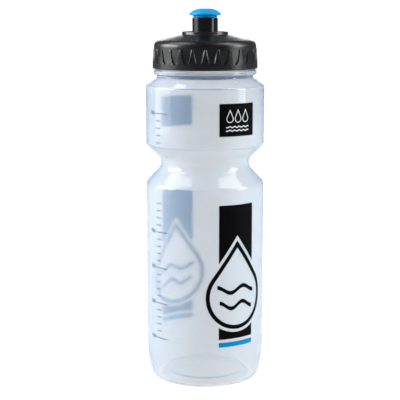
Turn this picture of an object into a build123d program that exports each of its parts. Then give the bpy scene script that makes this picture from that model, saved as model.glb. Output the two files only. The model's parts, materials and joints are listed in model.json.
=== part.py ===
"""A cyclist's squeeze bottle: a blow-moulded body, a screw cap and a push-pull drinking valve.

The bottle stands on the XY plane with its axis on Z. All sizes are in millimetres.
"""

import os

from build123d import *

os.makedirs("parts", exist_ok=True)

# ---- Body: one blow-moulded skin ----
body_r = 37.5
body_wall = 1.2
foot_h = 24.0  # the side is upright from here up
foot_inset = 3.4  # how far the foot tapers in below that
heel_fillet = 3.3
ring_r = 27.6  # inner edge of the ring that the bottle stands on
panel_h = 3.0  # how far the base is pushed up inside the ring
panel_draft = 3.0
base_fillet = 1.5
pinch_margin = 7.0  # from the ends of the mould's pinch line to the ring
pinch_w = 1.4
pinch_h = 0.5

lower_h = 126.9  # top corner of the lower barrel
waist_corner_depth = 11.95  # from the barrel to where the waist's two slopes would meet
waist_z = lower_h + 12.9
upper_z = waist_z + 11.6  # bottom corner of the upper barrel
upper_h = 36.8
shoulder_z = upper_z + upper_h
lower_fillet = 3.5
waist_fillet = 6.4
upper_fillet = 2.5
shoulder_fillet = 2.0
shoulder_rise = 6.1  # from the shoulder's corner to the groove

# ---- Neck and its thread ----
neck_r = 28.9
neck_wall = 1.6
neck_h = 13.7  # from the bead's top to the rim
neck_fillets = [0.8, 0.8, 0.7, 0.4]  # groove, bead's lower and upper edge, foot of the neck
groove_w = 0.7  # from the neck's radius out to the groove under the bead
bead_w = 3.6  # how far the bead stands out of the neck
bead_h = 2.7
bead_slope = 1.3  # rise from the groove to the bead's lower edge
thread_pitch = 4.2
thread_depth = 1.3
thread_turns = 1.25
thread_slope_w = 0.6  # a ridge is this much wider at its root, and narrower at its crest, than midway
thread_start = 5.0  # from the bead's top to the middle of the thread's first turn
thread_gap = 0.3  # crest to opposite root, and flank to flank
thread_sink = 0.5  # how far a thread's root is buried in its wall

groove_r = neck_r + groove_w
bead_r = neck_r + bead_w
groove_z = shoulder_z + shoulder_rise
bead_z = groove_z + bead_slope
bead_top_z = bead_z + bead_h
rim_z = bead_top_z + neck_h
neck_bore_r = neck_r - neck_wall

# ---- Cap ----
skirt_gap = 0.7  # from the bead up to the skirt
cap_wall = 1.7  # behind the flutes
band_h = 3.3
band_fillet = 0.6
rib_height = 0.9  # how far the ribs stand out of the flutes at the bottom
rib_taper = 0.45  # how much less they stand out at the top
rib_count = 26
rib_top_drop = 0.3  # the ribs end this far below the neck's rim
flute_low_r = 2.2  # radius of a flute's round lower end
flute_high_r = 20.0  # radius of the same flute at the top of the skirt
flute_dip = 0.3  # a flute's round end dips this far into the band
flute_run_out = 1.0  # and its other end runs this far past the ribs
crown_rise = 4.4  # from the top of the ribs to the corner where skirt and dome would meet
crown_fillets = [4.2, 0.3, 0.5, 0.4, 0]  # crown, foot of the collar, its two edges, floor
crown_step = 0.05  # how far the crown stands out of the flutes
dome_wall = 1.8
seat_overlap = 0.4  # how far the seat reaches inside the neck's bore
collar_r = 14.6
collar_wall = 2.1
collar_h = 1.9  # how far the collar stands above the dome
collar_draft = 0.3
dome_rise = 4.05  # from the crown's corner to the foot of the collar
recess_depth = 2.8  # from the collar's top to the floor that the valve sits on

cap_bore_r = neck_r + thread_depth + thread_gap
skirt_z = bead_top_z + skirt_gap
band_z = skirt_z + band_h
rib_top_z = rim_z - rib_top_drop
flute_floor_r = cap_bore_r + cap_wall
band_r = flute_floor_r + rib_height
crown_z = rib_top_z + crown_rise
dome_top_z = crown_z + dome_rise
collar_top_z = dome_top_z + collar_h
recess_z = collar_top_z - recess_depth
hub_z = recess_z - dome_wall

# ---- Seal ring ----
seal_thick = 1.5
seal_gap = 0.1  # above and below the ring
seal_side_gap = 0.3
seal_inset = 0.1  # from the neck's bore out to the ring's
seal_fillet = 0.25

# ---- Valve ----
chimney_r = 8.05
chimney_wall = 1.45
chimney_h = 8.55  # from the collar's top
lip_depth = 1.5  # height of the inward lip that keeps the stem in
lip_w = 0.45
flange_gap = 0.2  # from the flange to the collar
flange_thick = 1.7
housing_foot_w = 0.7  # the lower tube stands out by this much
hub_gap = 0.2  # between the lower tube and the cap's hole
snap_w = 0.6
snap_h = 1.0
housing_drop = 5.2  # from under the cap's floor to the bottom of the lower tube
housing_foot_fillet = 0.3
flange_fillets = [0.2, 0.4, 0.9]  # its two edges and the foot of the chimney
chimney_fillets = [0.5, 0.2]  # outer and inner edge of its top

slide_gap = 0.15  # stem to lip
travel = 6.0
travel_gap = 0.3  # left over at the top of the travel
stem_wall = 1.6
stem_bead_h = 1.2
stem_bead_gap = 0.1  # to the housing's bore
o_ring_section_r = 0.75
o_ring_gap = 0.05
o_ring_side_gap = 0.15
head_h = 1.2
head_w = 1.0

plug_r = 2.6
plug_tip_r = 2.1
plug_cone_h = 1.0  # where the post narrows to its tip
plug_cone_drop = 0.4  # from the stem's top down to the end of the cone
plug_recess = 0.6  # from the mouthpiece's flat top down to the tip's end
plug_fillets = [0, 0.3, 0.3, 0.4]  # foot, the cone's two ends, rim of the tip
plug_gap = 0.1  # between the tip and the mouthpiece's hole
spoke_count = 3
spoke_w = 1.4
spoke_h = 2.0
plug_ring_wall = 1.0

tip_gap = 0.1  # between the chimney and the mouthpiece that stops on it
tip_neck_inset = 0.45  # the tip's neck is this much slimmer than the chimney
tip_neck_h = 1.35
tip_overhang = 1.85  # the mushroom's rim stands out of the chimney by this much
tip_dome_r = 10.0  # of the arc between the rim and the flat top
tip_flat_r = 3.0
tip_h = 4.2  # from under the mushroom to its flat top
tip_rim_h = 0.8
tip_skin = 2.2  # thickness over the stem's end
tip_flat_fillet = 0.8
tip_hole_fillet = 0.4
tip_rim_fillet = 0.25
tip_neck_fillet = 0.2

bore_r = chimney_r - chimney_wall
chimney_top_z = collar_top_z + chimney_h
lip_z = chimney_top_z - lip_depth
stem_r = bore_r - lip_w - slide_gap
flange_top_z = recess_z + flange_thick
housing_z = hub_z - housing_drop
tip_neck_r = chimney_r - tip_neck_inset
tip_rim_r = chimney_r + tip_overhang
tip_z = chimney_top_z + tip_gap
tip_under_z = tip_z + tip_neck_h
tip_top_z = tip_under_z + tip_h
stem_top_z = tip_top_z - tip_skin
stem_bead_z = lip_z - travel - travel_gap - stem_bead_h
o_ring_z = stem_bead_z - o_ring_section_r - o_ring_side_gap
stem_z = o_ring_z - o_ring_section_r - o_ring_side_gap - stem_bead_h
tip_hole_r = plug_tip_r + plug_gap


def body_side():
    """The barrel, waist and shoulder, from the top of the foot to the groove."""
    return [
        (body_r, foot_h),
        (body_r, lower_h),
        (body_r - waist_corner_depth, waist_z),
        (body_r, upper_z),
        (body_r, shoulder_z),
        (groove_r, groove_z),
    ]


side_fillets = [lower_fillet, waist_fillet, upper_fillet, shoulder_fillet]


def base_line():
    """The underside and the foot, from the axis to the top of the foot."""
    heel = (body_r - foot_inset, 0)
    FilletPolyline(
        (0, panel_h), (ring_r - panel_draft, panel_h), (ring_r, 0), heel, radius=base_fillet
    )
    foot_sweep_r = (foot_h**2 + foot_inset**2) / (2 * foot_inset)
    RadiusArc(heel, (body_r, foot_h), -foot_sweep_r)


def thread(root_r, crest_r, first_z):
    """A right-hand ridge wound on a wall of root_r; crest_r may be larger or smaller."""
    outwards = 1 if crest_r > root_r else -1
    root_w = thread_pitch / 2 - thread_gap + thread_slope_w
    crest_w = thread_pitch / 2 - thread_gap - thread_slope_w
    with BuildPart(mode=Mode.PRIVATE) as ridge:
        with BuildLine() as path:
            Helix(thread_pitch, thread_pitch * thread_turns, root_r, center=(0, 0, first_z))
        with BuildSketch(Plane.XZ):
            with BuildLine():
                back = root_r - outwards * thread_sink
                Polyline(
                    (back, first_z - root_w / 2),
                    (root_r, first_z - root_w / 2),
                    (crest_r, first_z - crest_w / 2),
                    (crest_r, first_z + crest_w / 2),
                    (root_r, first_z + root_w / 2),
                    (back, first_z + root_w / 2),
                    close=True,
                )
            make_face()
        sweep(path=path.line, is_frenet=True)
    return ridge.part


# ---- Bottle body ----
with BuildPart() as bottle_body:
    with BuildSketch(Plane.XZ) as body_profile:
        with BuildLine():
            base_line()
            FilletPolyline(
                *body_side(),
                (bead_r, bead_z),
                (bead_r, bead_top_z),
                (neck_r, bead_top_z),
                (neck_r, rim_z),
                radius=[*side_fillets, *neck_fillets],
            )
            Polyline((neck_r, rim_z), (0, rim_z), (0, panel_h))
        make_face()
        heel_corner = body_profile.vertices().sort_by_distance((body_r - foot_inset, 0))[0]
        fillet(heel_corner, heel_fillet)
    revolve(axis=Axis.Z)
    with BuildSketch(Plane.XZ) as cavity:
        with BuildLine():
            base_line()
            FilletPolyline(*body_side(), radius=side_fillets)
            Polyline((groove_r, groove_z), (0, groove_z), (0, panel_h))
        make_face()
        heel_corner = cavity.vertices().sort_by_distance((body_r - foot_inset, 0))[0]
        fillet(heel_corner, heel_fillet)
        offset(amount=-body_wall, mode=Mode.REPLACE)
        # The inset leaves the axis bare, and stops below the neck.
        floor_z = panel_h + body_wall
        neck_floor_z = groove_z - 2 * body_wall
        with Locations((0, floor_z)):
            Rectangle(2 * body_wall, neck_floor_z - floor_z, align=(Align.MIN, Align.MIN))
        with Locations((0, neck_floor_z)):
            Rectangle(neck_bore_r, rim_z - neck_floor_z, align=(Align.MIN, Align.MIN))
    revolve(axis=Axis.Z, mode=Mode.SUBTRACT)
    add(thread(neck_r, neck_r + thread_depth, bead_top_z + thread_start))
    # The line where the mould pinched the tube shut crosses the pushed-up base.
    with BuildSketch(Plane.XY.offset(panel_h)):
        SlotOverall(2 * (ring_r - pinch_margin), pinch_w)
    extrude(amount=-pinch_h)
bottle_body.part.label = "bottle_body"
export_step(bottle_body.part, "parts/bottle_body.step")

# ---- Screw cap ----
with BuildPart() as screw_cap:
    # The skirt: a bottom band and a drum, which the flutes then cut into ribs.
    with BuildSketch(Plane.XZ) as skirt_profile:
        with BuildLine():
            Polyline(
                (cap_bore_r, rib_top_z),
                (cap_bore_r, skirt_z),
                (band_r, skirt_z),
                (band_r, band_z),
            )
            TangentArc((band_r, band_z), (band_r - rib_taper, rib_top_z), tangent=(0, 1))
            Line((band_r - rib_taper, rib_top_z), (cap_bore_r, rib_top_z))
        make_face()
        fillet(skirt_profile.vertices().sort_by_distance((band_r, skirt_z))[0], band_fillet)
    revolve(axis=Axis.Z)
    flute_z = band_z - flute_dip + flute_low_r
    with BuildPart(mode=Mode.PRIVATE) as flute:
        with BuildSketch(Plane.XY.offset(flute_z)):
            with Locations((flute_floor_r + flute_low_r, 0)):
                Circle(flute_low_r)
        with BuildSketch(Plane.XY.offset(rib_top_z + flute_run_out)):
            with Locations((flute_floor_r + flute_high_r, 0)):
                Circle(flute_high_r)
        loft()
        with Locations((flute_floor_r + flute_low_r, 0, flute_z)):
            Sphere(flute_low_r)
    with PolarLocations(0, rib_count):
        add(flute.part, mode=Mode.SUBTRACT)
    # The crown: a rounded shoulder, a shallow dome and the collar around the valve.
    with BuildSketch(Plane.XZ) as crown_profile:
        crown_r = flute_floor_r + crown_step
        seat_z = rim_z + seal_thick + 2 * seal_gap
        seat_r = neck_bore_r - seat_overlap
        under_dome_z = crown_z - dome_wall + dome_rise * (crown_r - seat_r) / (crown_r - collar_r)
        hole_r = chimney_r + housing_foot_w + hub_gap
        with BuildLine():
            Polyline((cap_bore_r, rib_top_z), (crown_r, rib_top_z))
            FilletPolyline(
                (crown_r, rib_top_z),
                (crown_r, crown_z),
                (collar_r, dome_top_z),
                (collar_r - collar_draft, collar_top_z),
                (collar_r - collar_wall, collar_top_z),
                (collar_r - collar_wall, recess_z),
                (hole_r, recess_z),
                radius=crown_fillets,
            )
            Polyline(
                (hole_r, recess_z),
                (hole_r, hub_z),
                (collar_r, hub_z),
                (seat_r, under_dome_z),
                (seat_r, seat_z),
                (cap_bore_r, seat_z),
                (cap_bore_r, rib_top_z),
            )
        make_face()
    revolve(axis=Axis.Z)
    cap_thread_r = neck_r + thread_gap
    add(thread(cap_bore_r, cap_thread_r, bead_top_z + thread_start - thread_pitch / 2))
screw_cap.part.label = "screw_cap"
export_step(screw_cap.part, "parts/screw_cap.step")

# ---- Seal ring: the soft liner that the rim presses on ----
with BuildPart() as seal_ring:
    seal_out_r = cap_bore_r - seal_side_gap
    seal_in_r = neck_bore_r + seal_inset
    with BuildSketch(Plane.XZ):
        with Locations(((seal_in_r + seal_out_r) / 2, rim_z + seal_gap + seal_thick / 2)):
            RectangleRounded(seal_out_r - seal_in_r, seal_thick, seal_fillet)
    revolve(axis=Axis.Z)
seal_ring.part.label = "seal_ring"
export_step(seal_ring.part, "parts/seal_ring.step")

# ---- Valve housing: the chimney, its flange and the lower tube that snaps under the cap ----
with BuildPart() as valve_housing:
    lower_r = chimney_r + housing_foot_w
    with BuildSketch(Plane.XZ):
        with BuildLine():
            FilletPolyline(
                (bore_r, housing_z),
                (lower_r, housing_z),
                (lower_r, hub_z - snap_h - hub_gap),
                (lower_r + snap_w, hub_z - hub_gap),
                (lower_r, hub_z - hub_gap),
                (lower_r, recess_z),
                (collar_r - collar_wall - flange_gap, recess_z),
                (collar_r - collar_wall - flange_gap, flange_top_z),
                (chimney_r, flange_top_z),
                (chimney_r, chimney_top_z),
                (bore_r - lip_w, chimney_top_z),
                (bore_r - lip_w, lip_z),
                (bore_r, lip_z),
                radius=[housing_foot_fillet, 0, 0, 0, 0, *flange_fillets, *chimney_fillets, 0],
            )
            Line((bore_r, lip_z), (bore_r, housing_z))
        make_face()
    revolve(axis=Axis.Z)
valve_housing.part.label = "valve_housing"
export_step(valve_housing.part, "parts/valve_housing.step")

# ---- Valve plug: a post on spokes, held in the bottom of the housing ----
with BuildPart() as valve_plug:
    with BuildSketch(Plane.XY.offset(housing_z)):
        Circle(bore_r)
        Circle(bore_r - plug_ring_wall, mode=Mode.SUBTRACT)
        Circle(plug_r)
        for turn in range(spoke_count):
            with Locations(Location((0, 0, 0), 360 / spoke_count * turn)):
                with Locations(((bore_r - plug_ring_wall / 2) / 2, 0)):
                    Rectangle(bore_r - plug_ring_wall / 2, spoke_w)
    extrude(amount=spoke_h)
    with BuildSketch(Plane.XZ):
        with BuildLine():
            cone_top_z = stem_top_z - plug_cone_drop
            plug_top_z = tip_top_z - plug_recess
            FilletPolyline(
                (0, housing_z),
                (plug_r, housing_z),
                (plug_r, cone_top_z - plug_cone_h),
                (plug_tip_r, cone_top_z),
                (plug_tip_r, plug_top_z),
                (0, plug_top_z),
                radius=plug_fillets,
            )
            Line((0, plug_top_z), (0, housing_z))
        make_face()
    revolve(axis=Axis.Z)
valve_plug.part.label = "valve_plug"
export_step(valve_plug.part, "parts/valve_plug.step")


def stem_outline():
    """The stem's outer line from its lower end to its top: bead, groove and head."""
    groove_depth = bore_r - o_ring_gap - 2 * o_ring_section_r
    bead_out_r = bore_r - stem_bead_gap
    return [
        (bead_out_r, stem_z),
        (bead_out_r, o_ring_z - o_ring_section_r - o_ring_side_gap),
        (groove_depth, o_ring_z - o_ring_section_r - o_ring_side_gap),
        (groove_depth, stem_bead_z),
        (bead_out_r, stem_bead_z),
        (bead_out_r, stem_bead_z + stem_bead_h),
        (stem_r, stem_bead_z + stem_bead_h),
        (stem_r, stem_top_z - head_h),
        (stem_r + head_w, stem_top_z - head_h),
        (stem_r + head_w, stem_top_z),
    ]


# ---- Nozzle stem: the hard tube that slides in the chimney ----
with BuildPart() as nozzle_stem:
    stem_bore_r = stem_r - stem_wall
    with BuildSketch(Plane.XZ):
        with BuildLine():
            Polyline(
                *stem_outline(), (stem_bore_r, stem_top_z), (stem_bore_r, stem_z), close=True
            )
        make_face()
    revolve(axis=Axis.Z)
nozzle_stem.part.label = "nozzle_stem"
export_step(nozzle_stem.part, "parts/nozzle_stem.step")

# ---- Mouthpiece: the soft mushroom moulded over the stem ----
with BuildPart() as mouthpiece:
    with BuildSketch(Plane.XZ) as tip_profile:
        with BuildLine():
            Polyline(
                (tip_hole_r, tip_top_z - tip_skin),
                (tip_hole_r, tip_top_z),
                (tip_flat_r, tip_top_z),
            )
            RadiusArc(
                (tip_flat_r, tip_top_z), (tip_rim_r, tip_under_z + tip_rim_h), tip_dome_r
            )
            Polyline(
                (tip_rim_r, tip_under_z + tip_rim_h),
                (tip_rim_r, tip_under_z),
                (tip_neck_r, tip_under_z),
                (tip_neck_r, tip_z),
                (stem_r, tip_z),
                (stem_r, stem_top_z - head_h),
                (stem_r + head_w, stem_top_z - head_h),
                (stem_r + head_w, stem_top_z),
                (tip_hole_r, stem_top_z),
            )
        make_face()
        for corner, radius in [
            ((tip_flat_r, tip_top_z), tip_flat_fillet),
            ((tip_hole_r, tip_top_z), tip_hole_fillet),
            ((tip_rim_r, tip_under_z), tip_rim_fillet),
            ((tip_neck_r, tip_z), tip_neck_fillet),
        ]:
            fillet(tip_profile.vertices().sort_by_distance(corner)[0], radius)
    revolve(axis=Axis.Z)
mouthpiece.part.label = "mouthpiece"
export_step(mouthpiece.part, "parts/mouthpiece.step")

# ---- O-ring in the stem's groove ----
with BuildPart() as stem_o_ring:
    o_ring_r = bore_r - o_ring_gap - o_ring_section_r
    with Locations((0, 0, o_ring_z)):
        Torus(o_ring_r, o_ring_section_r)
stem_o_ring.part.label = "stem_o_ring"
export_step(stem_o_ring.part, "parts/stem_o_ring.step")

# ---- What it holds ----
with BuildPart(mode=Mode.PRIVATE) as contents:
    add(cavity.sketch)
    revolve(axis=Axis.Z)
print(f"stands {tip_top_z:.1f} mm tall and holds {contents.part.volume / 1000:.0f} ml to the brim")
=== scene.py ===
# %% [markdown]
# # A cyclist's squeeze bottle
# The bottle stands on its foot with its axis on Z and its front towards -Y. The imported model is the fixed
# frame: it gives every size and place that has to fit, and the pieces below give the looks. Each cell
# makes one piece or one finish, and prints what it made.

# %% Load the frame
import json
import math

import bpy
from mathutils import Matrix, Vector


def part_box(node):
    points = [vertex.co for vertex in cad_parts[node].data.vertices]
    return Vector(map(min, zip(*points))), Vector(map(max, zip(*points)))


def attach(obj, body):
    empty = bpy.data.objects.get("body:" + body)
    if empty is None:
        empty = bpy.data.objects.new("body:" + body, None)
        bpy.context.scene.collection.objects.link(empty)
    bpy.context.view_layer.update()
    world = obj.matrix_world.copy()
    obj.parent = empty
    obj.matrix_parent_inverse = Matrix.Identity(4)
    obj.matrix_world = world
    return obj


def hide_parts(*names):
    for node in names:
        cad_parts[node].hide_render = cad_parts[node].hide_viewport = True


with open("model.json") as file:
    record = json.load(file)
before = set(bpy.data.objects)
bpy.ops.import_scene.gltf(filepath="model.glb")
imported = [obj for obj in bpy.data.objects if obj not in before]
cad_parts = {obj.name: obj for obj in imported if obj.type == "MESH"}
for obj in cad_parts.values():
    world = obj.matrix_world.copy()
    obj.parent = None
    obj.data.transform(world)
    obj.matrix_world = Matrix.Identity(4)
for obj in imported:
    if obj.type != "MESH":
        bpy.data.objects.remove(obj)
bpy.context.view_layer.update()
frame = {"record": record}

MM = 0.001

# %% [markdown]
# The boxes of the CAD nodes give the radii and heights that the pieces share. They are turned to
# millimetres once, so that every outline below reads like a drawing.

# %% Sizes from the frame
def radius_of(node):
    """The outer radius of a round node, in millimetres."""
    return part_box(node)[1].x / MM


def foot_of(node):
    """The lowest height of a node, in millimetres."""
    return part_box(node)[0].z / MM


def top_of(node):
    """The highest point of a node, in millimetres."""
    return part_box(node)[1].z / MM


body_r = radius_of("bottle_body")
rim_z = top_of("bottle_body")
skirt_z = foot_of("screw_cap")
collar_top_z = top_of("screw_cap")
band_r = radius_of("screw_cap")
chimney_top_z = top_of("valve_housing")
housing_z = foot_of("valve_housing")
tip_z = foot_of("mouthpiece")
tip_top_z = top_of("mouthpiece")
tip_rim_r = radius_of("mouthpiece")
stem_z = foot_of("nozzle_stem")
stem_top_z = top_of("nozzle_stem")
stem_head_r = radius_of("nozzle_stem")
print(f"body radius {body_r:.2f}, rim at {rim_z:.1f}, cap radius {band_r:.2f}, top at {tip_top_z:.1f} mm")

# %% [markdown]
# Almost every piece of a bottle is round, so most of them start as an outline: corner points, each with
# the radius that its mould rounds it to. Between two straight runs a round corner is an arc that touches
# both, and a small function works out its points.

# %% Rounded outlines
def rounded(corners, step_deg=9.0):
    """Turns corners of (radius, height, rounding) into points, with an arc where the rounding isn't 0."""
    points = []
    for i, (x, z, rounding) in enumerate(corners):
        corner = Vector((x, z))
        if rounding == 0 or i in (0, len(corners) - 1):
            points.append(corner)
            continue
        back = (Vector(corners[i - 1][:2]) - corner).normalized()
        ahead = (Vector(corners[i + 1][:2]) - corner).normalized()
        half = back.angle(ahead) / 2
        centre = corner + (back + ahead).normalized() * rounding / math.sin(half)
        start = corner + back * rounding / math.tan(half) - centre
        turn = math.pi - 2 * half
        side = 1 if back.x * ahead.y - back.y * ahead.x < 0 else -1
        steps = max(2, math.ceil(math.degrees(turn) / step_deg))
        for k in range(steps + 1):
            angle = side * turn * k / steps
            points.append(centre + Vector((
                start.x * math.cos(angle) - start.y * math.sin(angle),
                start.x * math.sin(angle) + start.y * math.cos(angle))))
    return [(p.x, p.y) for p in points]


print("a rounded corner of 2 mm has", len(rounded([(0, 0, 0), (5, 0, 2), (5, 5, 0)])), "points")

# %% [markdown]
# An outline becomes a piece on a lathe. By hand that is a plane merged to one point, extruded from corner
# to corner in edit mode, and spun round the axis. The spin leaves its seam and its poles double, so they
# are merged, and the faces are then turned outwards.

# %% The lathe
def draw_outline(name, outline):
    """Draws a closed outline of (radius, height) points, in millimetres, and stays in edit mode."""
    bpy.ops.object.select_all(action="DESELECT")
    bpy.ops.mesh.primitive_plane_add(size=MM)
    piece = bpy.context.object
    piece.name = piece.data.name = name
    bpy.ops.object.mode_set(mode="EDIT")
    bpy.ops.mesh.select_mode(type="VERT")
    bpy.ops.mesh.merge(type="CENTER")
    closed = outline[0][0] > 0 or outline[-1][0] > 0
    at = Vector((0, 0, 0))
    for i, (r, z) in enumerate([*outline, outline[0]] if closed else outline):
        there = Vector((r * MM, 0, z * MM))
        if i == 0:
            bpy.ops.transform.translate(value=there)
        else:
            bpy.ops.mesh.extrude_region_move(TRANSFORM_OT_translate={"value": there - at})
        at = there
    bpy.ops.mesh.select_all(action="SELECT")
    bpy.ops.mesh.remove_doubles(threshold=0.001 * MM)
    return piece


def close_up(piece, smooth_deg=30.0):
    """Merges seams and poles, turns the faces outwards, leaves edit mode and smooths the shading."""
    bpy.ops.mesh.select_all(action="SELECT")
    bpy.ops.mesh.remove_doubles(threshold=0.002 * MM)
    bpy.ops.mesh.normals_make_consistent(inside=False)
    bpy.ops.object.mode_set(mode="OBJECT")
    bpy.ops.object.shade_smooth_by_angle(angle=math.radians(smooth_deg))
    print(piece.name, "has", len(piece.data.polygons), "faces")


def lathe(name, outline, steps=128, smooth_deg=30.0):
    """Spins an outline all the way round."""
    piece = draw_outline(name, outline)
    bpy.ops.mesh.spin(steps=steps, angle=2 * math.pi, center=(0, 0, 0), axis=(0, 0, 1))
    close_up(piece, smooth_deg)
    return piece


# %% [markdown]
# Materials are named for what the maker used. Colours are written as sRGB hex values, which one function
# turns to the linear numbers that a shader needs, and another adds a node with its settings and links.

# %% Material helpers
def colour(hex_code):
    """A linear RGBA colour from an sRGB hex code such as 0A86C8."""
    channels = [int(hex_code[i:i + 2], 16) / 255 for i in (0, 2, 4)]
    linear = [c / 12.92 if c <= 0.04045 else ((c + 0.055) / 1.055) ** 2.4 for c in channels]
    return (*linear, 1.0)


def add_node(owner, kind, settings=None, links=None):
    """Adds a node to a material or a world.

    settings are its inputs or its own properties, and links are its inputs, by name or by number, with
    the sockets that feed them.
    """
    added = owner.node_tree.nodes.new(kind)
    for key, value in (settings or {}).items():
        if key in added.inputs:
            added.inputs[key].default_value = value
        else:
            setattr(added, key, value)
    for key, socket in (links or {}).items():
        owner.node_tree.links.new(socket, added.inputs[key])
    return added


def new_material(name):
    """An empty node material with its output node."""
    material = bpy.data.materials.new(name)
    material.use_nodes = True
    material.node_tree.nodes.clear()
    output = add_node(material, "ShaderNodeOutputMaterial")
    return material, output


def surface(owner, output, shader):
    """Shows a shader's output on the surface."""
    owner.node_tree.links.new(shader, output.inputs["Surface"])


print("a mid grey of 808080 is", round(colour("808080")[0], 3), "in linear light")

# %% [markdown]
# **Milky polyethylene.** The body is blown from low-density polyethylene, which is never quite clear:
# small crystals scatter the light, and blue most of all. So the print on the far side shows through as a
# soft, bluish ghost. Rough glass carries what shows through, and a plain and a translucent shader, mixed
# in, are the scattering. A lamp's light can't find its way through glass in a path tracer, so for shadow
# rays the glass gives way to a transparent shader, and the lamps light the inside too. The skin ripples a
# little where it froze against the mould, with faint upright streaks where the hot tube was drawn down.

# %% Milky polyethylene
def upright_streaks(material, position, width_mm):
    """Noise drawn out along the axis, as wide as the real streaks."""
    stretch = add_node(material, "ShaderNodeMapping", {"Scale": (1, 1, 0.04)}, {"Vector": position})
    return add_node(material, "ShaderNodeTexNoise", {"Scale": 1 / (width_mm * MM), "Detail": 2.0},
                    {"Vector": stretch.outputs["Vector"]}).outputs["Fac"]


POLYETHYLENE_IOR = 1.51
MILK, CLEAR = colour("A8CCF8"), colour("FFF9EE")    # scattered light is bluish, and what is left is warm
SCATTERING, CLEARNESS = 0.45, 0.74                  # the translucent share of the haze, and the clear share

milky, milky_out = new_material("milky_polyethylene_blow_moulded")
place = add_node(milky, "ShaderNodeTexCoord").outputs["Object"]
streaks = upright_streaks(milky, place, 3.0)
ripple = add_node(milky, "ShaderNodeTexNoise", {"Scale": 1 / (9 * MM), "Detail": 1.0}, {"Vector": place})
ripple_bump = add_node(milky, "ShaderNodeBump", {"Strength": 0.25, "Distance": 0.1 * MM},
                       {"Height": ripple.outputs["Fac"]})
skin = add_node(milky, "ShaderNodeBump", {"Strength": 0.2, "Distance": 0.05 * MM},
                {"Height": streaks, "Normal": ripple_bump.outputs["Normal"]}).outputs["Normal"]
gloss = add_node(milky, "ShaderNodeBsdfPrincipled",
                 {"Base Color": MILK, "Roughness": 0.3, "IOR": POLYETHYLENE_IOR}, {"Normal": skin})
glow = add_node(milky, "ShaderNodeBsdfTranslucent", {"Color": MILK}, {"Normal": skin})
haze = add_node(milky, "ShaderNodeMixShader", {"Fac": SCATTERING},
                {1: gloss.outputs["BSDF"], 2: glow.outputs["BSDF"]})
clear = add_node(milky, "ShaderNodeBsdfGlass",
                 {"Color": CLEAR, "Roughness": 0.125, "IOR": POLYETHYLENE_IOR}, {"Normal": skin})
lamp_light = add_node(milky, "ShaderNodeBsdfTransparent", {"Color": CLEAR})
for_lamps = add_node(milky, "ShaderNodeLightPath").outputs["Is Shadow Ray"]
let_through = add_node(milky, "ShaderNodeMixShader", None,
                       {"Fac": for_lamps, 1: clear.outputs["BSDF"], 2: lamp_light.outputs["BSDF"]})
wall_look = add_node(milky, "ShaderNodeMixShader", {"Fac": CLEARNESS},
                     {1: haze.outputs["Shader"], 2: let_through.outputs["Shader"]})
surface(milky, milky_out, wall_look.outputs["Shader"])
print("made", milky.name)

# %% [markdown]
# **Moulded plastics, rubber and ink.** The other materials are solid colours with a skin that came off a
# mould or dried flat. Plain colour alone would look like a drawing, so one function gives each a shallow
# grain and a roughness that drifts a little over the surface, as it does where the melt cooled unevenly
# or hands have polished it. Real grain is about 0.1 mm wide, too fine to show, so it is drawn coarser
# here.

# %% Solid plastics, rubber and ink
PATCH_MM = 6.0                             # width of the duller and shinier patches


def moulded(name, hex_code, roughness, grain_mm, grain_depth_mm, ior=1.49, drift=0.06, **settings):
    """A solid moulded material: colour, mean roughness, and the size and depth of its grain."""
    material, output = new_material(name)
    position = add_node(material, "ShaderNodeTexCoord").outputs["Object"]
    grain = add_node(material, "ShaderNodeTexNoise", {"Scale": 1 / (grain_mm * MM), "Detail": 2.0},
                     {"Vector": position})
    bump = add_node(material, "ShaderNodeBump", {"Strength": 0.5, "Distance": grain_depth_mm * MM},
                    {"Height": grain.outputs["Fac"]})
    patches = add_node(material, "ShaderNodeTexNoise", {"Scale": 1 / (PATCH_MM * MM), "Detail": 3.0},
                       {"Vector": position})
    span = {"From Min": 0.3, "From Max": 0.7, "To Min": roughness - drift, "To Max": roughness + drift}
    sheen = add_node(material, "ShaderNodeMapRange", span, {"Value": patches.outputs["Fac"]})
    skin_shader = add_node(material, "ShaderNodeBsdfPrincipled",
                           {"Base Color": colour(hex_code), "IOR": ior, **settings},
                           {"Normal": bump.outputs["Normal"], "Roughness": sheen.outputs["Result"]})
    surface(material, output, skin_shader.outputs["BSDF"])
    print("made", name)
    return material


# Polypropylene from a lightly eroded mould: deep black with a satin skin.
cap_black = moulded("black_polypropylene_satin", "030305", 0.31, 0.6, 0.004)
# The valve's mould is polished, so its black is glossy.
valve_black = moulded("black_polypropylene_polished", "040405", 0.14, 1.2, 0.004, drift=0.03)
# A soft elastomer grips the light a little: matt, with light sinking into the blue.
tip_blue = moulded("blue_elastomer_soft", "008CC8", 0.42, 0.35, 0.004, ior=1.5,
                    **{"Specular IOR Level": 0.25})
# Polypropylene without a pigment, for the hard stem: a waxy off-white.
stem_white = moulded("natural_polypropylene", "DDE4EA", 0.3, 0.6, 0.006)
# Silicone for the liner is pale and waxy, and nitrile rubber for the stem's ring is a dull black.
silicone_grey = moulded("grey_silicone", "C9CED2", 0.45, 0.4, 0.008, ior=1.41)
rubber_black = moulded("black_nitrile_rubber", "121212", 0.5, 0.3, 0.008, ior=1.52)
# Screen-printing ink lies on the skin with the fine orange peel of a dried film.
ink_black = moulded("black_screen_ink", "040406", 0.45, 0.4, 0.003, **{"Specular IOR Level": 0.04})
ink_blue = moulded("blue_screen_ink", "0087BC", 0.45, 0.4, 0.003, **{"Specular IOR Level": 0.06})
ink_grey = moulded("grey_screen_ink", "3C444E", 0.45, 0.4, 0.003, **{"Specular IOR Level": 0.1})
ink_white = moulded("white_screen_ink", "E6EBF0", 0.45, 0.4, 0.003, **{"Specular IOR Level": 0.2})

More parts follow.
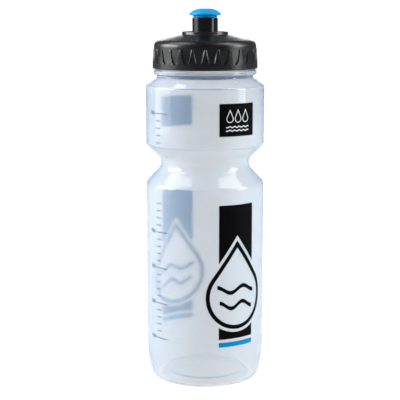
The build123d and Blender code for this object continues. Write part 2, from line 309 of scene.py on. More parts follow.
# %% [markdown]
# **The body.** A tube of hot plastic is blown out against a cold mould, so the skin is about as thick all
# round and every corner is soft. The outer outline is drawn once, from the pushed-up base to the groove
# under the neck, and the inner one is the same line moved in by the wall. A Solidify modifier could
# thicken the skin too, but it would pinch where the base is tight. A corner that the wall rounds from the
# inside gets a smaller radius, and one that it rounds from the outside a larger one.

# %% The body's outline
def moved_in(corners, wall):
    """The same corners, moved to the left of the way along them."""
    moved = []
    for i, (x, z, rounding) in enumerate(corners):
        here = Vector((x, z))
        ways = []
        if i > 0:
            ways.append((here - Vector(corners[i - 1][:2])).normalized())
        if i < len(corners) - 1:
            ways.append((Vector(corners[i + 1][:2]) - here).normalized())
        lefts = [Vector((-way.y, way.x)) for way in ways]
        shift = (lefts[0] + lefts[-1]) * wall / (1 + lefts[0].dot(lefts[-1]))
        left_turn = ways[0].x * ways[-1].y - ways[0].y * ways[-1].x
        rounding = max(0.3, rounding + (wall if left_turn < 0 else -wall)) if rounding else 0
        moved.append((max(0, x + shift.x), z + shift.y, rounding))
    return moved


WALL = 1.2
foot_h, foot_inset, panel_h = 24.0, 3.4, 3.0           # the foot's sweep, and the base's panel
cage_waist = next(m for m in frame["record"]["mounts"] if m["name"] == "cage_waist")
waist_z = cage_waist["pos_m"][2] / MM
lower_z, upper_z = waist_z - 12.9, waist_z + 11.6     # the barrel's corners below and above the waist
waist_r = body_r - 11.95                               # where the waist's two slopes would meet
bead_top_z = rim_z - 13.7
bead_z = bead_top_z - 2.7
groove_z = bead_z - 1.3
shoulder_z = groove_z - 6.1
neck_r, bore_r, bead_r, groove_r = 28.9, 27.3, 32.5, 29.6

foot_sweep = (foot_h**2 + foot_inset**2) / (2 * foot_inset)
foot_rows = range(4, 24, 3)                            # heights at which the sweep is drawn
foot = [(body_r - foot_sweep + math.sqrt(foot_sweep**2 - (foot_h - z)**2), z, 0) for z in foot_rows]
barrel = [(0, panel_h, 0), (24.6, panel_h, 1.5), (27.6, 0, 1.5), (body_r - foot_inset, 0, 3.3), *foot,
          (body_r, foot_h, 0), (body_r, lower_z, 3.5), (waist_r, waist_z, 6.4), (body_r, upper_z, 2.5),
          (body_r, shoulder_z, 2.0)]
neck = [(groove_r, groove_z, 0.8), (bead_r, bead_z, 0.8), (bead_r, bead_top_z, 0.7),
        (neck_r, bead_top_z, 0.4), (neck_r, rim_z, 0.5), (bore_r, rim_z, 0.5)]
throat_r = bore_r + WALL                               # the shoulder's slope runs on to here, in the neck
throat_z = shoulder_z + (body_r - throat_r) * (groove_z - shoulder_z) / (body_r - groove_r)
inside = moved_in([*barrel, (throat_r, throat_z, 1.0), (throat_r, rim_z, 0)], WALL)[:-1]
body_outline = rounded([*barrel, *neck, *reversed(inside)], step_deg=7)
print("the body's outline has", len(body_outline), "points; the waist is", round(waist_z, 1), "mm up")

# %% Blow the body
body = lathe("blown_body", body_outline, steps=192)
body.data.materials.append(milky)

# %% [markdown]
# **Screw threads.** A thread is a small trapezium wound up a helix. The spin operator only turns round an
# axis, and the Screw modifier climbs along it as well. Its ends run out into the wall on a real moulding,
# so that they don't cut a finger or the liner: the crest sinks back to the root over the first and last
# part of a turn.

# %% Wind the threads
PITCH, DEPTH, TURNS = 4.2, 1.3, 1.25
STEPS_PER_TURN = 96
RUN_OUT = 10                               # steps over which an end sinks into the wall
SUNK = 0.3                                 # the ridge's back is this far inside the wall
thread_z = bead_top_z + 5.0                # the middle of the neck's thread where it starts


def thread(name, root_r, crest_r, first_z, material):
    """A right-hand ridge on a wall of root_r, whose crest points in or out."""
    steps = round(STEPS_PER_TURN * TURNS)
    root_half, crest_half = 1.2, 0.6
    back_r = root_r - math.copysign(SUNK, crest_r - root_r)
    bpy.ops.object.select_all(action="DESELECT")
    bpy.ops.mesh.primitive_plane_add(size=MM)
    ridge = bpy.context.object
    ridge.name = ridge.data.name = name
    section = [(back_r, -root_half), (crest_r, -crest_half), (crest_r, crest_half), (back_r, root_half)]
    for corner, index in zip(section, (0, 1, 3, 2)):
        ridge.data.vertices[index].co = (corner[0] * MM, 0, (first_z + corner[1]) * MM)
    winding = ridge.modifiers.new("wind", "SCREW")
    winding.angle, winding.screw_offset = 2 * math.pi * TURNS, PITCH * TURNS * MM
    winding.steps = winding.render_steps = steps
    bpy.ops.object.modifier_apply(modifier=winding.name)
    for vertex in ridge.data.vertices:
        step = vertex.index // len(section)
        share = min(1, step / RUN_OUT, (steps - step) / RUN_OUT)
        r = math.hypot(vertex.co.x, vertex.co.y)
        wanted = back_r * MM + (r - back_r * MM) * max(0.05, math.sin(share * math.pi / 2))
        vertex.co.x, vertex.co.y = vertex.co.x * wanted / r, vertex.co.y * wanted / r
    bpy.ops.object.mode_set(mode="EDIT")
    bpy.ops.mesh.select_all(action="SELECT")
    bpy.ops.mesh.fill_holes(sides=4)
    close_up(ridge, smooth_deg=40)
    ridge.data.materials.append(material)
    return ridge


def unite(piece, other):
    """Makes two overlapping solids one."""
    bpy.ops.object.select_all(action="DESELECT")
    bpy.context.view_layer.objects.active = piece
    union = piece.modifiers.new("unite", "BOOLEAN")
    union.operation, union.solver, union.object = "UNION", "EXACT", other
    bpy.ops.object.modifier_apply(modifier=union.name)
    bpy.data.objects.remove(other)
    piece.select_set(True)
    bpy.ops.object.shade_smooth_by_angle(angle=math.radians(30))
    print(piece.name, "has", len(piece.data.polygons), "faces after the union")


unite(body, thread("neck_thread", neck_r, neck_r + DEPTH, thread_z, milky))

# %% [markdown]
# The tube of plastic was pinched shut across the bottom, which leaves a low, straight welt over the base.
# It is a thin bar with round ends, so it starts as a cube whose upright edges are bevelled almost to a
# half circle. Its top reaches a little way into the base, so that the two become one solid.

# %% The pinch line under the base
def placed_cube(name, centre, size):
    """A cube at its place and size, in millimetres, left in edit mode and selected."""
    bpy.ops.object.select_all(action="DESELECT")
    bpy.ops.mesh.primitive_cube_add(size=1)
    piece = bpy.context.object
    piece.name = piece.data.name = name
    bpy.ops.object.mode_set(mode="EDIT")
    bpy.ops.transform.resize(value=[side * MM for side in size])
    bpy.ops.transform.translate(value=[at * MM for at in centre])
    return piece


def select_where(piece, test):
    """Selects the edges whose two ends both pass a test on their place in millimetres."""
    bpy.ops.mesh.select_all(action="DESELECT")
    bpy.ops.mesh.select_mode(type="EDGE")
    bpy.ops.object.mode_set(mode="OBJECT")
    for edge in piece.data.edges:
        edge.select = test(*[piece.data.vertices[v].co / MM for v in edge.vertices])
    bpy.ops.object.mode_set(mode="EDIT")


pinch_l, pinch_w, pinch_h, pinch_root = 41.2, 1.4, 0.5, 0.2
pinch_z = panel_h - pinch_h / 2 + pinch_root / 2
pinch = placed_cube("pinch_line", (0, 0, pinch_z), (pinch_l, pinch_w, pinch_h + pinch_root))
select_where(pinch, lambda a, b: abs(a.z - b.z) > 0.1)
bpy.ops.mesh.bevel(offset=0.45 * pinch_w * MM, segments=5)
select_where(pinch, lambda a, b: max(a.z, b.z) < panel_h - pinch_h + 0.01)
bpy.ops.mesh.bevel(offset=0.15 * MM, segments=2)
close_up(pinch)
pinch.data.materials.append(milky)
unite(body, pinch)
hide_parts("bottle_body")
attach(body, "bottle")

# %% [markdown]
# **The screw cap.** It is moulded in black polypropylene: a skirt with grip ribs, a round crown, a
# shallow dome and a collar. All of it is round but the ribs, which repeat 26 times. So one pitch of the
# outline is spun, its skirt is shaped into half a flute, a rib and half a flute, and copies of that slice
# are spun on.

# %% The cap's outline
CLEARANCE = 0.3                           # between the neck's thread and the cap's
cap_bore_r = neck_r + DEPTH + CLEARANCE
floor_r = cap_bore_r + 1.7                # of the flutes between the ribs
rib_low_z = skirt_z + 3.3                 # top of the plain band, where the flutes end
rib_top_z = rim_z - 0.3
rib_taper = 0.45                          # the ribs stand out this much less at the top
crown_r, crown_z = floor_r + 0.05, rib_top_z + 4.4
collar_r, collar_bore_r = 14.6, 12.5
dome_top_z = collar_top_z - 1.9
recess_z = collar_top_z - 2.8
hub_z = recess_z - 1.8
seat_z, seat_r, hole_r = rim_z + 1.7, bore_r - 0.4, 8.95
under_crown_z = crown_z - 1.8 + (dome_top_z - crown_z) * (crown_r - seat_r) / (crown_r - collar_r)

flute_rows = [rib_low_z + step for step in (-0.25, 0, 0.12, 0.3, 0.6, 1.1, 1.7, 2.5, 3.5, 5, 6.5, 8)]
crest = [(band_r - rib_taper * max(0, z - rib_low_z) / (rib_top_z - rib_low_z), z, 0) for z in flute_rows]
cap_corners = [
    (cap_bore_r, skirt_z, 0.2), (band_r, skirt_z, 0.6), *crest,
    (band_r - rib_taper, rib_top_z - 0.25, 0), (band_r - rib_taper - 0.12, rib_top_z - 0.05, 0),
    (crown_r, rib_top_z, 0), (crown_r, rib_top_z + 0.1, 0),
    (crown_r, crown_z, 4.2), (collar_r, dome_top_z, 0.5), (collar_r - 0.3, collar_top_z, 0.45),
    (collar_bore_r, collar_top_z, 0.35), (collar_bore_r, recess_z, 0.2), (hole_r, recess_z, 0.2),
    (hole_r, hub_z, 0.2), (collar_r, hub_z, 1.0), (seat_r, under_crown_z, 1.0), (seat_r, seat_z, 0.3),
    (cap_bore_r, seat_z, 0.3), (cap_bore_r, skirt_z, 0.2),
]
cap_outline = rounded(cap_corners, step_deg=8)[:-1]
print("the cap's outline has", len(cap_outline), "points")

# %% [markdown]
# A rib is a thin wedge, broad at its foot, and the flutes beside it end low down in a round U. Cutting
# each flute with a boolean would work too, but would leave slivers that catch the light. So the columns
# of faces are shared out instead, from the middle of the rib: three for half its crest, three for its
# flank, and four for half of the flute. Then each point moves to its place.

# %% Shape one pitch of the grip
RIBS, COLUMNS = 26, 20                    # columns of faces in one pitch
CREST_END, FLANK_END = 3, 6               # the columns where the crest and the flank end
PITCH_ANGLE = 2 * math.pi / RIBS
RIB_LOW, RIB_HIGH = math.radians(4.0), math.radians(0.35)    # half the crest's width below and above
FLANK = math.radians(1.1)                 # the width that a side of a rib takes
U_END, U_REACH = 0.9, 3.2                 # how much higher a flute's end is at its corners, and how far up
FLUTE_SAG = 0.08                          # the middle of a flute is this much deeper
RUN_IN = 0.3                              # height over which a flute reaches its depth


def smooth_step(t):
    """0 to 1 with soft ends."""
    t = min(1, max(0, t))
    return t * t * (3 - 2 * t)


def shape_grip(point):
    """Moves a point of the plain slice, in millimetres, to its place on the flute or the rib."""
    r, turn, z = math.hypot(point.x, point.y), math.atan2(point.y, point.x), point.z
    column = round(turn / PITCH_ANGLE * COLUMNS) - COLUMNS // 2
    side, steps = math.copysign(1, column), abs(column)
    height = min(1, max(0, (z - rib_low_z) / (rib_top_z - rib_low_z)))
    half = RIB_LOW + (RIB_HIGH - RIB_LOW) * height
    across = max(0, (steps - FLANK_END) / (COLUMNS // 2 - FLANK_END))    # 1 in the middle of a flute
    if steps <= CREST_END:
        angle = half * steps / CREST_END
    elif steps <= FLANK_END:
        angle = half + FLANK * (steps - CREST_END) / (FLANK_END - CREST_END)
    else:
        angle = half + FLANK + (PITCH_ANGLE / 2 - half - FLANK) * across
    on_skirt = r > floor_r + 0.02 and rib_low_z - 0.01 <= z <= rib_top_z - 0.01
    if on_skirt:
        down_flank = smooth_step((steps - CREST_END) / (FLANK_END - CREST_END))
        sunk = down_flank * smooth_step((z - rib_low_z) / RUN_IN)
        r += (floor_r - FLUTE_SAG * across - r) * sunk
        z += U_END * (1 - across)**2 * max(0, 1 - (z - rib_low_z) / U_REACH)
    turn = PITCH_ANGLE / 2 + side * angle
    return Vector((r * math.cos(turn), r * math.sin(turn), z))


print("one pitch is", round(PITCH_ANGLE * band_r, 2), "mm wide, and a rib's foot",
      round(2 * (RIB_LOW + FLANK) * band_r, 2), "mm")

# %% [markdown]
# The slice's two edges lie in the middle of a flute, so its copies meet there without a step, and the
# merge in close_up makes them one skin.

# %% Turn the slice round into the cap
cap = draw_outline("ribbed_cap", cap_outline)
bpy.ops.mesh.spin(steps=COLUMNS, angle=-PITCH_ANGLE, center=(0, 0, 0), axis=(0, 0, 1))
bpy.ops.object.mode_set(mode="OBJECT")
for vertex in cap.data.vertices:
    vertex.co = shape_grip(vertex.co / MM) * MM
bpy.ops.object.mode_set(mode="EDIT")
bpy.ops.mesh.select_all(action="SELECT")
rest_of_turn = -PITCH_ANGLE * (RIBS - 1)
bpy.ops.mesh.spin(steps=RIBS - 1, angle=rest_of_turn, center=(0, 0, 0), axis=(0, 0, 1), dupli=True)
close_up(cap, smooth_deg=50)
cap.data.materials.append(cap_black)
unite(cap, thread("cap_thread", cap_bore_r, neck_r + CLEARANCE, thread_z - PITCH / 2, cap_black))
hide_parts("screw_cap")
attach(cap, "cap")

# %% [markdown]
# **The liner and the valve.** The soft liner sits under the crown, and the rim presses on it. The valve
# is a polished tube, the chimney, whose flange sits in the collar. Its lower end snaps under the cap with
# a barb. A post on three spokes stands in the middle, and shuts the mouthpiece's hole while the nozzle is
# down. All of them are lathe work but the spokes.

# %% Liner, chimney and post
seal_low_z, seal_top_z = foot_of("seal_ring"), top_of("seal_ring")
seal_in_r, seal_out_r = bore_r + 0.1, radius_of("seal_ring")
dent_r = (seal_in_r + seal_out_r) / 2                # the rim leaves a shallow groove here
dent_z, dent_half, dent_edge = seal_low_z + 0.12, 0.9, 1.2
liner = lathe("cap_liner", rounded([
    (seal_in_r, seal_low_z, 0), (dent_r - dent_edge, seal_low_z, 0.3), (dent_r - dent_half, dent_z, 0.3),
    (dent_r + dent_half, dent_z, 0.3), (dent_r + dent_edge, seal_low_z, 0.3),
    (seal_out_r, seal_low_z, 0.25), (seal_out_r, seal_top_z, 0.25), (seal_in_r, seal_top_z, 0.25),
    (seal_in_r, seal_low_z, 0.25)], step_deg=20)[:-1])
liner.data.materials.append(silicone_grey)
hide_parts("seal_ring")
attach(liner, "seal")

chimney_r, valve_bore_r, lip_r = 8.05, 6.6, 6.15     # the lip at the top keeps the nozzle in
flange_r, flange_z = radius_of("valve_housing"), recess_z + 1.7
lower_r, barb_w, barb_top_z = 8.75, 0.6, hub_z - 0.2
lip_z = chimney_top_z - 1.5
chimney = lathe("valve_chimney", rounded([
    (valve_bore_r, housing_z, 0.3), (lower_r, housing_z, 0.3), (lower_r, hub_z - 1.2, 0.1),
    (lower_r + barb_w, barb_top_z, 0.15), (lower_r, barb_top_z, 0.1), (lower_r, recess_z, 0),
    (flange_r, recess_z, 0.2), (flange_r, flange_z, 0.4), (chimney_r, flange_z, 0.9),
    (chimney_r, chimney_top_z, 0.5), (lip_r, chimney_top_z, 0.2), (lip_r, lip_z, 0.1),
    (valve_bore_r, lip_z, 0), (valve_bore_r, housing_z, 0.3)], step_deg=9)[:-1])
chimney.data.materials.append(valve_black)
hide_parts("valve_housing")
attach(chimney, "cap")

post_r, post_tip_r, post_top_z = 2.6, 2.1, top_of("valve_plug")
ring_r, spoke_h, spoke_w = radius_of("valve_plug"), 2.0, 1.4
cone_z = stem_top_z - 0.4
post = lathe("valve_post", rounded([
    (0, housing_z, 0), (post_r, housing_z, 0.3), (post_r, cone_z - 1, 0.3), (post_tip_r, cone_z, 0.3),
    (post_tip_r, post_top_z, 0.4), (0, post_top_z, 0)], step_deg=9), steps=64)
ring = lathe("valve_post_ring", rounded([
    (ring_r - 1, housing_z, 0), (ring_r, housing_z, 0.15), (ring_r, housing_z + spoke_h, 0.15),
    (ring_r - 1, housing_z + spoke_h, 0.15), (ring_r - 1, housing_z, 0)], step_deg=30)[:-1], steps=64)
unite(post, ring)
spoke_l = ring_r - 1.5                     # from inside the post to inside the ring
spoke_at = (1 + spoke_l / 2, 0, housing_z + spoke_h / 2)
for third in range(3):
    spoke = placed_cube("spoke", spoke_at, (spoke_l, spoke_w, spoke_h - 0.1))
    select_where(spoke, lambda a, b: abs(a.x - b.x) > 1)
    bpy.ops.mesh.bevel(offset=0.25 * MM, segments=3)
    bpy.ops.mesh.select_all(action="SELECT")
    bpy.ops.transform.rotate(value=-third * 2 * math.pi / 3, orient_axis="Z", center_override=(0, 0, 0))
    close_up(spoke)
    unite(post, spoke)
post.data.materials.append(valve_black)
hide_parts("valve_plug")
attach(post, "cap")

# %% [markdown]
# **The nozzle.** A hard stem slides in the chimney, and the soft mushroom is moulded over its head, which
# locks the two together. A bead and a groove near the stem's foot hold the ring that seals it. The
# mushroom's top is an arc from its thin rim to a small flat, where the lips rest. A squashed sphere would
# be quicker, but its rim would be too round, so the arc is worked out and turned on the lathe.

# %% Stem, ring and mouthpiece
stem_r, stem_bore_r, stem_bead_r, stem_bead_h = 6.0, 4.4, 6.5, 1.2
ring_z = (foot_of("stem_o_ring") + top_of("stem_o_ring")) / 2
groove_half = 0.9                          # half the height of the ring's groove
section_r = (top_of("stem_o_ring") - foot_of("stem_o_ring")) / 2
groove_r_in = radius_of("stem_o_ring") - 2 * section_r
head_z = stem_top_z - 1.2
stem = lathe("nozzle_tube", rounded([
    (stem_bore_r, stem_z, 0.2), (stem_bead_r, stem_z, 0.25), (stem_bead_r, ring_z - groove_half, 0.15),
    (groove_r_in, ring_z - groove_half, 0.1), (groove_r_in, ring_z + groove_half, 0.1),
    (stem_bead_r, ring_z + groove_half, 0.15), (stem_bead_r, ring_z + groove_half + stem_bead_h, 0.25),
    (stem_r, ring_z + groove_half + stem_bead_h, 0.2), (stem_r, head_z, 0), (stem_head_r, head_z, 0),
    (stem_head_r, stem_top_z, 0.1), (stem_bore_r, stem_top_z, 0.2), (stem_bore_r, stem_z, 0.2)],
    step_deg=15)[:-1])
stem.data.materials.append(stem_white)
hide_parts("nozzle_stem")
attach(stem, "nozzle")

ring_mid_r = radius_of("stem_o_ring") - section_r
ring_section = [(ring_mid_r + section_r * math.cos(turn), ring_z + section_r * math.sin(turn))
                for turn in [math.radians(angle) for angle in range(0, 360, 15)]]
o_ring = lathe("stem_ring", ring_section)
o_ring.data.materials.append(rubber_black)
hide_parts("stem_o_ring")
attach(o_ring, "nozzle")

tip_under_z = tip_z + 1.35
tip_edge_z = tip_under_z + 1.15
tip_hole_r, tip_flat_r, tip_arc_r, tip_skirt_r = 2.2, 3.0, 10.0, 7.6


def arc_between(start, end, r, steps):
    """Points on an arc of radius r that bulges to the right of the way from start to end."""
    a, b = Vector(start), Vector(end)
    half = (b - a) / 2
    left = Vector((-half.y, half.x)).normalized()
    centre = a + half + left * math.sqrt(r**2 - half.length_squared)
    first, last = (a - centre), (b - centre)
    sweep = first.angle_signed(last)
    return [tuple(centre + Vector((first.x * math.cos(t) + first.y * math.sin(t),
                                   -first.x * math.sin(t) + first.y * math.cos(t))))
            for t in [sweep * k / steps for k in range(steps + 1)]]


tip_arc = arc_between((tip_rim_r, tip_edge_z), (tip_flat_r, tip_top_z), tip_arc_r, 12)
tip_corners = [
    (stem_r, tip_z, 0), (tip_skirt_r, tip_z, 0.25), (tip_skirt_r, tip_under_z, 0.35),
    (tip_rim_r, tip_under_z, 0.5), (*tip_arc[0], 0.5), *[(r, z, 0) for r, z in tip_arc[1:]],
    (tip_hole_r, tip_top_z, 0.5), (tip_hole_r, stem_top_z, 0),
    (stem_head_r, stem_top_z, 0), (stem_head_r, head_z, 0), (stem_r, head_z, 0), (stem_r, tip_z, 0),
]
tip = lathe("soft_mouthpiece", rounded(tip_corners, step_deg=12)[:-1], steps=144, smooth_deg=35)
tip.data.materials.append(tip_blue)
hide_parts("mouthpiece")
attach(tip, "nozzle")

# %% [markdown]
# **The print.** The design is screen-printed on the front and once more on the back, with a volume scale
# beside it. An image texture could carry it, but ink is a real film with a thickness, and geometry stays
# crisp at any distance. So each patch is a flat shape that is cut into narrow strips, given a thickness
# and wrapped round the barrel.

# %% Flat shapes for the print
FILM = 0.04                                # thickness of the dried ink, drawn a little thick
SKIN_GAP = 0.02                            # the film starts this far off the skin
STRIP, REACH = 1.25, 30                    # the width of a strip, and how far from its middle a shape may go


def flat_shape(name, outline):
    """A flat face with the given outline, in millimetres, left in edit mode and selected."""
    bpy.ops.object.select_all(action="DESELECT")
    bpy.ops.mesh.primitive_plane_add(size=MM)
    shape = bpy.context.object
    shape.name = shape.data.name = name
    bpy.ops.object.mode_set(mode="EDIT")
    bpy.ops.mesh.select_mode(type="VERT")
    bpy.ops.mesh.merge(type="CENTER")
    at = Vector((0, 0, 0))
    for i, (x, y) in enumerate([*outline, outline[0]]):
        there = Vector((x * MM, y * MM, 0))
        if i == 0:
            bpy.ops.transform.translate(value=there)
        else:
            bpy.ops.mesh.extrude_region_move(TRANSFORM_OT_translate={"value": there - at})
        at = there
    bpy.ops.mesh.select_all(action="SELECT")
    bpy.ops.mesh.remove_doubles(threshold=0.001 * MM)
    bpy.ops.mesh.edge_face_add()
    return shape


def outline_only(shape, width):
    """Turns a flat face into a line of that width along its edge."""
    bpy.ops.mesh.select_mode(type="FACE")
    bpy.ops.mesh.select_all(action="SELECT")
    bpy.ops.mesh.inset(thickness=width * MM, use_boundary=True)
    bpy.ops.mesh.delete(type="FACE")


def wrap(shape, facing_deg, ink, lift=SKIN_GAP):
    """Cuts a flat shape into strips, thickens it and wraps it round the barrel, centred at an angle."""
    if shape.mode != "EDIT":
        bpy.ops.object.select_all(action="DESELECT")
        bpy.context.view_layer.objects.active = shape
        bpy.ops.object.mode_set(mode="EDIT")
    bpy.ops.mesh.select_mode(type="VERT")
    strips = math.ceil(REACH / STRIP)
    for k in range(-strips, strips + 1):
        bpy.ops.mesh.select_all(action="SELECT")
        bpy.ops.mesh.bisect(plane_co=(k * STRIP * MM, 0, 0), plane_no=(1, 0, 0))
    bpy.ops.mesh.select_all(action="SELECT")
    bpy.ops.mesh.normals_make_consistent(inside=False)
    bpy.ops.object.mode_set(mode="OBJECT")
    if shape.data.polygons[0].normal.z < 0:
        shape.data.flip_normals()
    film = shape.modifiers.new("film", "SOLIDIFY")
    film.thickness, film.offset = FILM * MM, 1
    bpy.context.view_layer.objects.active = shape
    bpy.ops.object.modifier_apply(modifier=film.name)
    facing = math.radians(facing_deg)
    for vertex in shape.data.vertices:
        turn = facing + vertex.co.x / (body_r * MM)
        r = (body_r + lift) * MM + vertex.co.z
        vertex.co = (r * math.sin(turn), -r * math.cos(turn), vertex.co.y)
    shape.data.materials.append(ink)
    return shape


def join_shapes(name, shapes):
    """Joins wrapped shapes of one ink into one printed film that rides on the bottle."""
    bpy.ops.object.select_all(action="DESELECT")
    for shape in shapes:
        shape.select_set(True)
    bpy.context.view_layer.objects.active = shapes[0]
    if len(shapes) > 1:
        bpy.ops.object.join()
    film = bpy.context.object
    film.name = film.data.name = name
    bpy.ops.object.shade_smooth_by_angle(angle=math.radians(30))
    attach(film, "bottle")
    print(name, "has", len(film.data.polygons), "faces")


print("a strip is", round(math.degrees(STRIP / body_r), 2), "degrees wide")

# %% [markdown]
# The design is a plain one: a black bar that makes room for the tip of a water drop, the drop in outline
# with two waves in it, a black foot, and a blue stripe, and higher up a black patch with small white
# drops and ripples. All its heights are from the floor, in millimetres.

# %% The parts of the design
PRINT_FACING = 32.2                        # degrees that the design's middle is round from the front
HALF_W = 12.5
bar_top, drop_tip, drop_low, drop_round = 117.0, 94.5, 38.0, 20.8
drop_mid = drop_low + drop_round
STROKE, GAP = 2.6, 1.9


def half_tip_angle(mid, tip, r):
    """Half the angle at the tip of a drop whose round part has its centre at mid."""
    return math.asin(r / (tip - mid))


def drop(low, tip, r, steps=40):
    """The outline of a water drop: a circle of radius r that draws out to a tip."""
    mid = low + r
    start = half_tip_angle(mid, tip, r)    # here the round part meets the straight sides
    points = [(0, tip)]
    for k in range(steps + 1):
        turn = start - (math.pi + 2 * start) * k / steps
        points.append((r * math.cos(turn), mid + r * math.sin(turn)))
    return points


def rectangle(left, low, right, high):
    """The outline of a rectangle."""
    return [(left, low), (right, low), (right, high), (left, high)]


def wave(width, middle, thickness, swing, waves, steps=32):
    """A wavy stroke."""
    xs = [width * (k / steps - 0.5) for k in range(steps + 1)]
    line = [middle + swing * math.sin(2 * math.pi * waves * x / width) for x in xs]
    return ([(x, y + thickness / 2) for x, y in zip(xs, line)]
            + [(x, y - thickness / 2) for x, y in reversed(list(zip(xs, line)))])


lean = half_tip_angle(drop_mid, drop_tip, drop_round)
notch_z = drop_tip + GAP / math.sin(lean)
notch_side_z = notch_z - HALF_W / math.tan(lean)
bar = [(-HALF_W, bar_top), (-HALF_W, notch_side_z), (0, notch_z), (HALF_W, notch_side_z), (HALF_W, bar_top)]
foot_low, foot_arc_r = 32.0, drop_round + GAP
foot_xs = [HALF_W * (1 - k / 8) for k in range(17)]
block_top = [(x, drop_mid - math.sqrt(foot_arc_r**2 - x**2)) for x in foot_xs]
block = [(-HALF_W, foot_low), (HALF_W, foot_low), *block_top]
stripe = rectangle(-HALF_W, 27.0, HALF_W, 30.0)
patch = rectangle(-HALF_W, 159.4, HALF_W, 179.4)
big_waves = [wave(width, middle, STROKE, swing=1.9, waves=1.5)
             for width, middle in ((27, 63.5), (24, 53.5))]
ripples = [wave(16.4, middle, 0.6, swing=0.35, waves=5, steps=60) for middle in (165.2, 163.0)]
SMALL_STROKE = 0.42
small_drop = drop(167.8, 176.0, 2.35, steps=24)
small_drops = [[(x + dx, z) for dx, z in small_drop] for x in (-5.6, 0, 5.6)]
print("the drop is", drop_tip - drop_low, "mm tall, and the bar's notch is", round(notch_z, 1), "mm up")

# %% Print it on both sides
def print_design(side, facing):
    """Prints the whole design on one side of the bottle."""
    black = [wrap(flat_shape(name, outline), facing, ink_black)
             for name, outline in (("bar", bar), ("patch", patch), ("block", block))]
    big_drop = flat_shape("drop", drop(drop_low, drop_tip, drop_round))
    outline_only(big_drop, STROKE)
    black.append(wrap(big_drop, facing, ink_black))
    for outline in big_waves:
        black.append(wrap(flat_shape("wave", outline), facing, ink_black))
    join_shapes("print_black_" + side, black)
    join_shapes("print_blue_" + side, [wrap(flat_shape("stripe", stripe), facing, ink_blue)])
    white = []
    on_black = SKIN_GAP + FILM
    for outline in small_drops:
        small = flat_shape("small_drop", outline)
        outline_only(small, SMALL_STROKE)
        white.append(wrap(small, facing, ink_white, on_black))
    for outline in ripples:
        white.append(wrap(flat_shape("ripple", outline), facing, ink_white, on_black))
    join_shapes("print_white_" + side, white)


print_design("front", PRINT_FACING)
print_design("back", PRINT_FACING + 180)

# %% [markdown]
# The scale is printed beside the design, in thin lines: long ones at each hundred millilitres, with the
# number beside them, and short ones at each twenty between. The barrel's hundreds are about 23 mm apart.
# Blender's own font draws the numbers. The scale leaves out the waist, where a screen can't print.

# %% The volume scale
SCALE_FACING, SCALE_LINE = -53.8, 0.36     # the angle where the lines start, and their width
LONG_TICK, SHORT_TICK = 9.8, 4.0
NUMBER_SIZE, NUMBER_GAP = 3.6, 1.6
per_hundred, first_mark_z, upper_mark_z = 22.8, 29.8, 172.6
hundreds = {value: first_mark_z + per_hundred * (value / 100 - 1) for value in (100, 200, 300, 400)}
hundreds[700] = upper_mark_z
ticks = []
for value, z in hundreds.items():
    ticks.append((z, LONG_TICK))
    up = -1 if value == 700 else 1         # the top mark's short ones are below it
    for step in (1, 2, 3, 4):
        ticks.append((z + up * step * per_hundred / 5, SHORT_TICK))
marks = []
for z, length in ticks:
    line = rectangle(0, z - SCALE_LINE / 2, length, z + SCALE_LINE / 2)
    marks.append(wrap(flat_shape("tick", line), SCALE_FACING, ink_grey))
for value, z in hundreds.items():
    bpy.ops.object.select_all(action="DESELECT")
    bpy.ops.object.text_add()
    number = bpy.context.object
    number.data.body = str(value)
    number.data.size, number.data.align_x, number.data.align_y = NUMBER_SIZE * MM, "RIGHT", "CENTER"
    number.data.offset_x, number.data.offset_y = -NUMBER_GAP * MM, z * MM
    bpy.ops.object.convert(target="MESH")
    marks.append(wrap(bpy.context.object, SCALE_FACING, ink_grey))
join_shapes("print_scale", marks)

# %% [markdown]
# **Floor and room.** The bottle stands on a white floor in a dim room, which keeps the black plastic
# black. A bright room would be simpler, but it would grey the cap. So to the camera, and through the
# clear part of the skin, the floor and the room are plain white, as a back-lit sweep is in a studio.

# %% Floor and room
FLOOR_R = 4.0                              # metres
ROOM_LIGHT, SWEEP_LIGHT = 0.21, 1.15


def seen_directly(owner):
    """1 for rays from the camera and for rays that have come through the clear skin, else 0."""
    path = add_node(owner, "ShaderNodeLightPath").outputs
    return add_node(owner, "ShaderNodeMath", {"operation": "MAXIMUM"},
                    {0: path["Is Camera Ray"], 1: path["Is Transmission Ray"]}).outputs["Value"]


bpy.ops.object.select_all(action="DESELECT")
bpy.ops.mesh.primitive_circle_add(vertices=96, radius=FLOOR_R, fill_type="NGON")
floor = bpy.context.object
floor.name = floor.data.name = "floor"
white, white_out = new_material("white_sweep")
matt = add_node(white, "ShaderNodeBsdfDiffuse", {"Color": colour("CCCED2")})
back_lit = add_node(white, "ShaderNodeEmission", {"Color": colour("FFFFFF"), "Strength": SWEEP_LIGHT})
stage_look = add_node(white, "ShaderNodeMixShader", None,
                      {"Fac": seen_directly(white), 1: matt.outputs["BSDF"],
                       2: back_lit.outputs["Emission"]})
surface(white, white_out, stage_look.outputs["Shader"])
floor.data.materials.append(white)

world = bpy.data.worlds.new("studio")
bpy.context.scene.world = world
world.use_nodes = True
world.node_tree.nodes.clear()
room = add_node(world, "ShaderNodeBackground", {"Color": colour("F4F8FF"), "Strength": ROOM_LIGHT})
sweep = add_node(world, "ShaderNodeBackground", {"Color": colour("FFFFFF"), "Strength": SWEEP_LIGHT})
either_way = add_node(world, "ShaderNodeMixShader", None,
                      {"Fac": seen_directly(world), 1: room.outputs["Background"],
                       2: sweep.outputs["Background"]})
world_out = add_node(world, "ShaderNodeOutputWorld")
surface(world, world_out, either_way.outputs["Shader"])
print("the floor is", 2 * FLOOR_R, "m across, and the room's light is", ROOM_LIGHT)

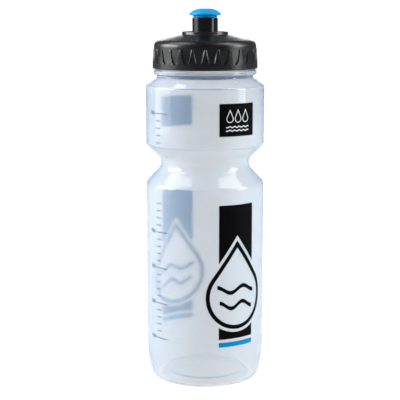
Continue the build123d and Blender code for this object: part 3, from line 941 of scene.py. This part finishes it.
# %% [markdown]
# **Lamps.** On each side a small soft light stands high up and puts a spot on the waist, a larger panel
# below it lights the milky skin, and a low one draws a line down the chimney and the grip. A narrow strip
# behind the bottle is what the sides of the dome mirror. One big lamp on each side would be simpler, but
# a smooth skin mirrors all of it as a hard white band. The camera can't see the lamps.

# %% Lamps
AIM = Vector((0, 0, 0.13))                 # the lamps face this point, about half way up


def softbox(name, azimuth, elevation, distance, size, power):
    """A rectangular lamp that faces the bottle: angles in degrees, lengths in metres, power in watts.

    Azimuth 0 is the front, and +90 the right side.
    """
    turn, lift = math.radians(azimuth), math.radians(elevation)
    way = Vector((math.sin(turn) * math.cos(lift), -math.cos(turn) * math.cos(lift), math.sin(lift)))
    lamp_data = bpy.data.lights.new(name, "AREA")
    lamp_data.shape, lamp_data.size, lamp_data.size_y = "RECTANGLE", *size
    lamp_data.energy = power
    lamp = bpy.data.objects.new(name, lamp_data)
    lamp.location = AIM + way * distance
    lamp.rotation_euler = (-way).to_track_quat("-Z", "Y").to_euler()
    lamp.visible_camera = lamp.visible_transmission = False
    bpy.context.scene.collection.objects.link(lamp)
    print(name, "has", power, "W")


softbox("left_softbox", -92, 57, 1.1, (0.7, 0.6), 5.5)
softbox("left_upper_panel", -88, 24, 1.2, (0.9, 0.5), 19)
softbox("left_panel", -90, 2, 1.2, (0.9, 0.5), 3)
softbox("right_softbox", 84, 54, 1.2, (0.6, 0.7), 7)
softbox("right_upper_panel", 82, 24, 1.3, (0.5, 0.5), 9)
softbox("right_panel", 74, 2, 1.3, (0.4, 0.6), 3)
softbox("backdrop", 180, 13, 2.0, (0.9, 0.35), 3.6)

# %% [markdown]
# **Camera.** A long lens, a little above the mouthpiece and tilted down, keeps the bottle's sides almost
# parallel. The Standard view keeps white white.

# %% Camera
CAMERA_AT, TILT_DEG = (-0.0032, -0.7305, 0.2381), 9.6
camera_data = bpy.data.cameras.new("camera")
camera_data.sensor_width, camera_data.lens = 36, 103.5
camera = bpy.data.objects.new("camera", camera_data)
camera.location = CAMERA_AT
camera.rotation_euler = (math.radians(90 - TILT_DEG), 0, 0)
bpy.context.scene.collection.objects.link(camera)
bpy.context.scene.camera = camera
bpy.context.scene.view_settings.view_transform = "Standard"
print("the camera is", -CAMERA_AT[1], "m in front of the bottle")
